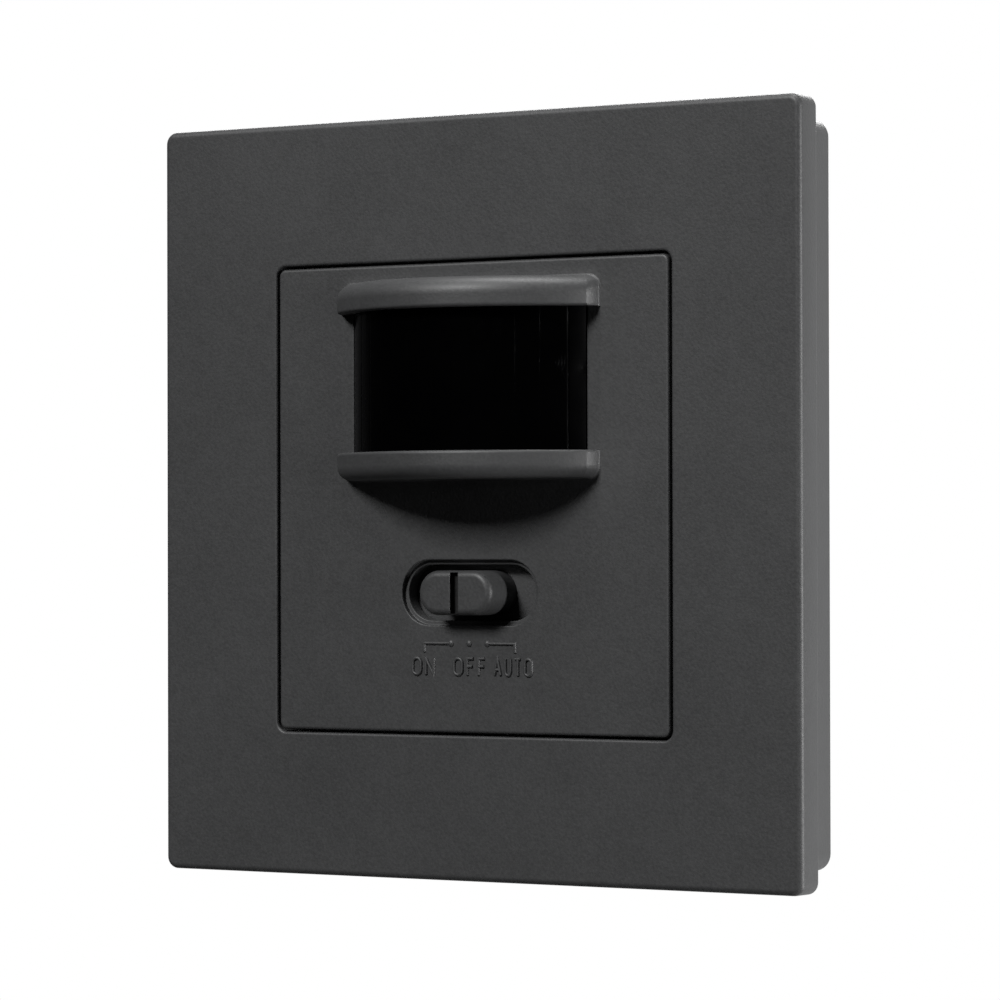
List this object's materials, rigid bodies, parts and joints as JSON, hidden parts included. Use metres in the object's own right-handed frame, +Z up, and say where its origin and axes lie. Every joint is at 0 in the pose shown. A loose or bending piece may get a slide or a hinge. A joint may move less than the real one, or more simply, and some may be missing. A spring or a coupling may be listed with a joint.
{
  "type": "motion sensor light switch",
  "caption": "Flush-mounted wall switch: square frame and centre plate, hooded curved Fresnel lens for a motion sensor, slide selector, insert for the wall box.",
  "frame": {"origin": "middle of the wall plane, where the support plate and the frame's skirt meet the wall", "axes": "+X to the right seen from the front, +Y into the wall, +Z up; the front faces -Y"},
  "size_m": [0.081, 0.0423, 0.081],
  "materials": {
    "anthracite_plastic": "fine mould grain, satin matt",
    "lens_plastic": "black infrared-clear plastic, semi-gloss",
    "carrier_plastic": "plain mould finish",
    "zinc_steel": "zinc-plated sheet",
    "housing_plastic": "fine mould grain",
    "screw_steel": "zinc-plated",
    "board_laminate": "green solder mask",
    "nickel_can": "nickel-plated can",
    "silicon_window": "dark silicon filter",
    "pale_plastic": "natural nylon",
    "photo_cell": "clear-coated cell",
    "phenolic": "paper laminate",
    "brass": "plain",
    "trimmer_plastic": "moulded body",
    "chip_resin": "moulded resin",
    "resistor_ceramic": "glazed chip",
    "relay_case": "moulded case",
    "film_case": "potted case",
    "capacitor_sleeve": "shrunk sleeve",
    "choke_winding": "enamelled wire on ferrite",
    "varistor_coat": "epoxy dip"
  },
  "bodies": {
    "switch_body": {"cover_frame": "anthracite_plastic", "centre_plate": "anthracite_plastic", "fresnel_lens": "lens_plastic", "lens_retainer": "carrier_plastic", "front_carrier": "carrier_plastic", "support_plate": "zinc_steel", "rear_housing": "housing_plastic", "case_screws": "screw_steel", "board_screws": "screw_steel", "circuit_board": "board_laminate", "pir_sensor_can": "nickel_can", "pir_sensor_window": "silicon_window", "pir_sensor_spacer": "pale_plastic", "light_sensor": "photo_cell", "slide_switch_case": "zinc_steel", "slide_switch_base": "phenolic", "time_trimmer_body": "trimmer_plastic", "lux_trimmer_body": "trimmer_plastic", "control_chip": "chip_resin", "chip_resistors": "resistor_ceramic", "relay": "relay_case", "film_capacitor": "film_case", "electrolytic_capacitors": "capacitor_sleeve", "suppression_choke": "choke_winding", "fuse": "chip_resin", "bridge_rectifier": "chip_resin", "varistor": "varistor_coat", "terminal_block": "pale_plastic", "terminal_cages": "brass", "terminal_screws": "screw_steel"},
    "selector": {"selector_knob": "anthracite_plastic", "slide_switch_lever": "pale_plastic", "slide_switch_wiper": "brass"},
    "time_dial": {"time_trimmer_dial": "pale_plastic"},
    "lux_dial": {"lux_trimmer_dial": "pale_plastic"}
  },
  "joints": [
    {"name": "selector_slide", "type": "slide", "parent": "switch_body", "child": "selector", "axis": [1, 0, 0], "range_m": [-0.0023, 0.0023]},
    {"name": "time_dial_turn", "type": "hinge", "parent": "switch_body", "child": "time_dial", "pos_m": [-0.01357, 0, -0.00848], "axis": [0, -1, 0], "range_deg": [-115, 115]},
    {"name": "lux_dial_turn", "type": "hinge", "parent": "switch_body", "child": "lux_dial", "pos_m": [0.01357, 0, -0.00848], "axis": [0, -1, 0], "range_deg": [-115, 115]}
  ]
}
